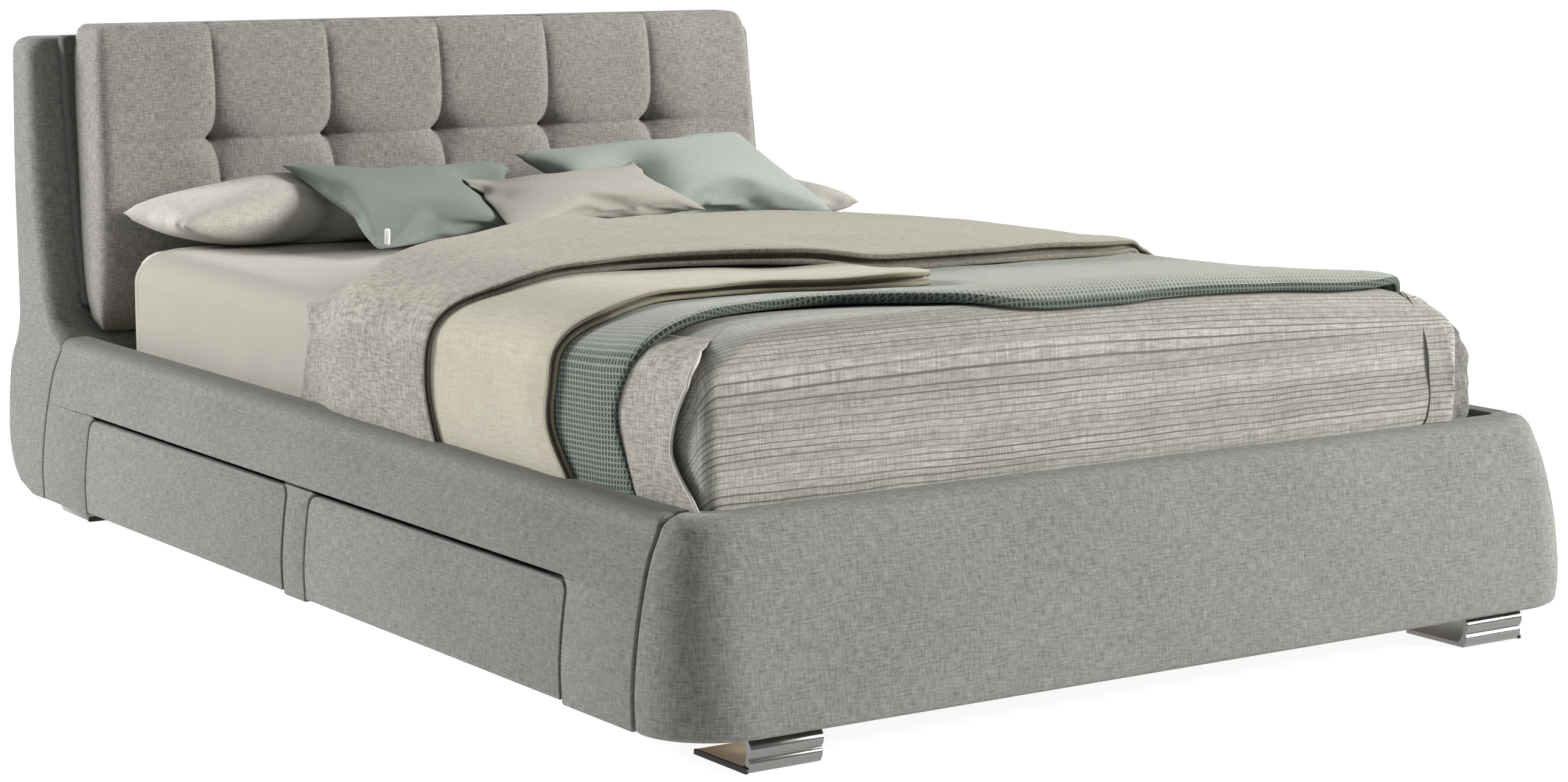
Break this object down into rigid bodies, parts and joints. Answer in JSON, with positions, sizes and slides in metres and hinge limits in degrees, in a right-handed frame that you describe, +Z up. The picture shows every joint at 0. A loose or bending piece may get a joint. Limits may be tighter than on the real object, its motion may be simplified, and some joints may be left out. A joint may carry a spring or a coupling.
{
  "type": "platform bed with storage drawers",
  "caption": "Fabric platform bed with a padded, tufted headboard, long storage drawers under both sides, bent metal feet, a mattress and layered bedding.",
  "frame": {"origin": "centre of the footprint on the floor", "axes": "+Z up, +Y from the footboard towards the headboard, +X to the right for someone standing at the foot and facing the headboard"},
  "size_m": [1.7202, 2.4249, 0.914],
  "materials": {
    "upholstery": "matte",
    "timber": "matte",
    "board": "matte",
    "lining": "matte",
    "chrome": "polished",
    "zinc_steel": "satin",
    "painted_steel": "satin",
    "ticking": "matte",
    "sheet_cotton": "matte",
    "quilt_weave": "matte",
    "beige_weave": "matte",
    "cream_cotton": "matte",
    "teal_waffle": "matte",
    "sage_cotton": "matte"
  },
  "bodies": {
    "base": {"headboard_shell": "upholstery", "headboard_pad_board": "upholstery", "headboard_cushion": "upholstery", "side_rail_right": "upholstery", "side_rail_left": "upholstery", "footboard": "upholstery", "headboard_inner_frame": "timber", "cross_bearer_head": "timber", "cross_bearer_middle": "timber", "cross_bearer_foot": "timber", "centre_beam": "timber", "slat_ledger_left": "timber", "slat_ledger_right": "timber", "slat_set": "timber", "headboard_back_panel": "lining", "centre_leg_head": "painted_steel", "centre_leg_foot": "painted_steel", "foot_front_right": "chrome", "foot_front_left": "chrome", "foot_rear_right": "chrome", "foot_rear_left": "chrome", "runner_left_head_headward": "zinc_steel", "runner_left_head_footward": "zinc_steel", "runner_left_foot_headward": "zinc_steel", "runner_left_foot_footward": "zinc_steel", "runner_right_head_headward": "zinc_steel", "runner_right_head_footward": "zinc_steel", "runner_right_foot_headward": "zinc_steel", "runner_right_foot_footward": "zinc_steel", "mattress": "ticking", "fitted_sheet": "sheet_cotton", "quilt": "quilt_weave", "throw_teal": "teal_waffle", "coverlet": "beige_weave", "throw_cream": "cream_cotton", "pillow_left": "cream_cotton", "pillow_right": "cream_cotton", "cushion_cream": "cream_cotton", "cushion_sage_left": "sage_cotton", "cushion_sage_right": "sage_cotton"},
    "drawer_left_head": {"drawer_left_head_front": "upholstery", "drawer_left_head_box": "board", "drawer_left_head_bottom": "board", "drawer_left_head_slide_headward": "zinc_steel", "drawer_left_head_slide_footward": "zinc_steel"},
    "drawer_left_foot": {"drawer_left_foot_front": "upholstery", "drawer_left_foot_box": "board", "drawer_left_foot_bottom": "board", "drawer_left_foot_slide_headward": "zinc_steel", "drawer_left_foot_slide_footward": "zinc_steel"},
    "drawer_right_head": {"drawer_right_head_front": "upholstery", "drawer_right_head_box": "board", "drawer_right_head_bottom": "board", "drawer_right_head_slide_headward": "zinc_steel", "drawer_right_head_slide_footward": "zinc_steel"},
    "drawer_right_foot": {"drawer_right_foot_front": "upholstery", "drawer_right_foot_box": "board", "drawer_right_foot_bottom": "board", "drawer_right_foot_slide_headward": "zinc_steel", "drawer_right_foot_slide_footward": "zinc_steel"}
  },
  "joints": [
    {"name": "drawer_left_head_slide", "type": "slide", "parent": "base", "child": "drawer_left_head", "axis": [-1, 0, 0], "range_m": [0, 0.42]},
    {"name": "drawer_left_foot_slide", "type": "slide", "parent": "base", "child": "drawer_left_foot", "axis": [-1, 0, 0], "range_m": [0, 0.42]},
    {"name": "drawer_right_head_slide", "type": "slide", "parent": "base", "child": "drawer_right_head", "axis": [1, 0, 0], "range_m": [0, 0.42]},
    {"name": "drawer_right_foot_slide", "type": "slide", "parent": "base", "child": "drawer_right_foot", "axis": [1, 0, 0], "range_m": [0, 0.42]}
  ]
}
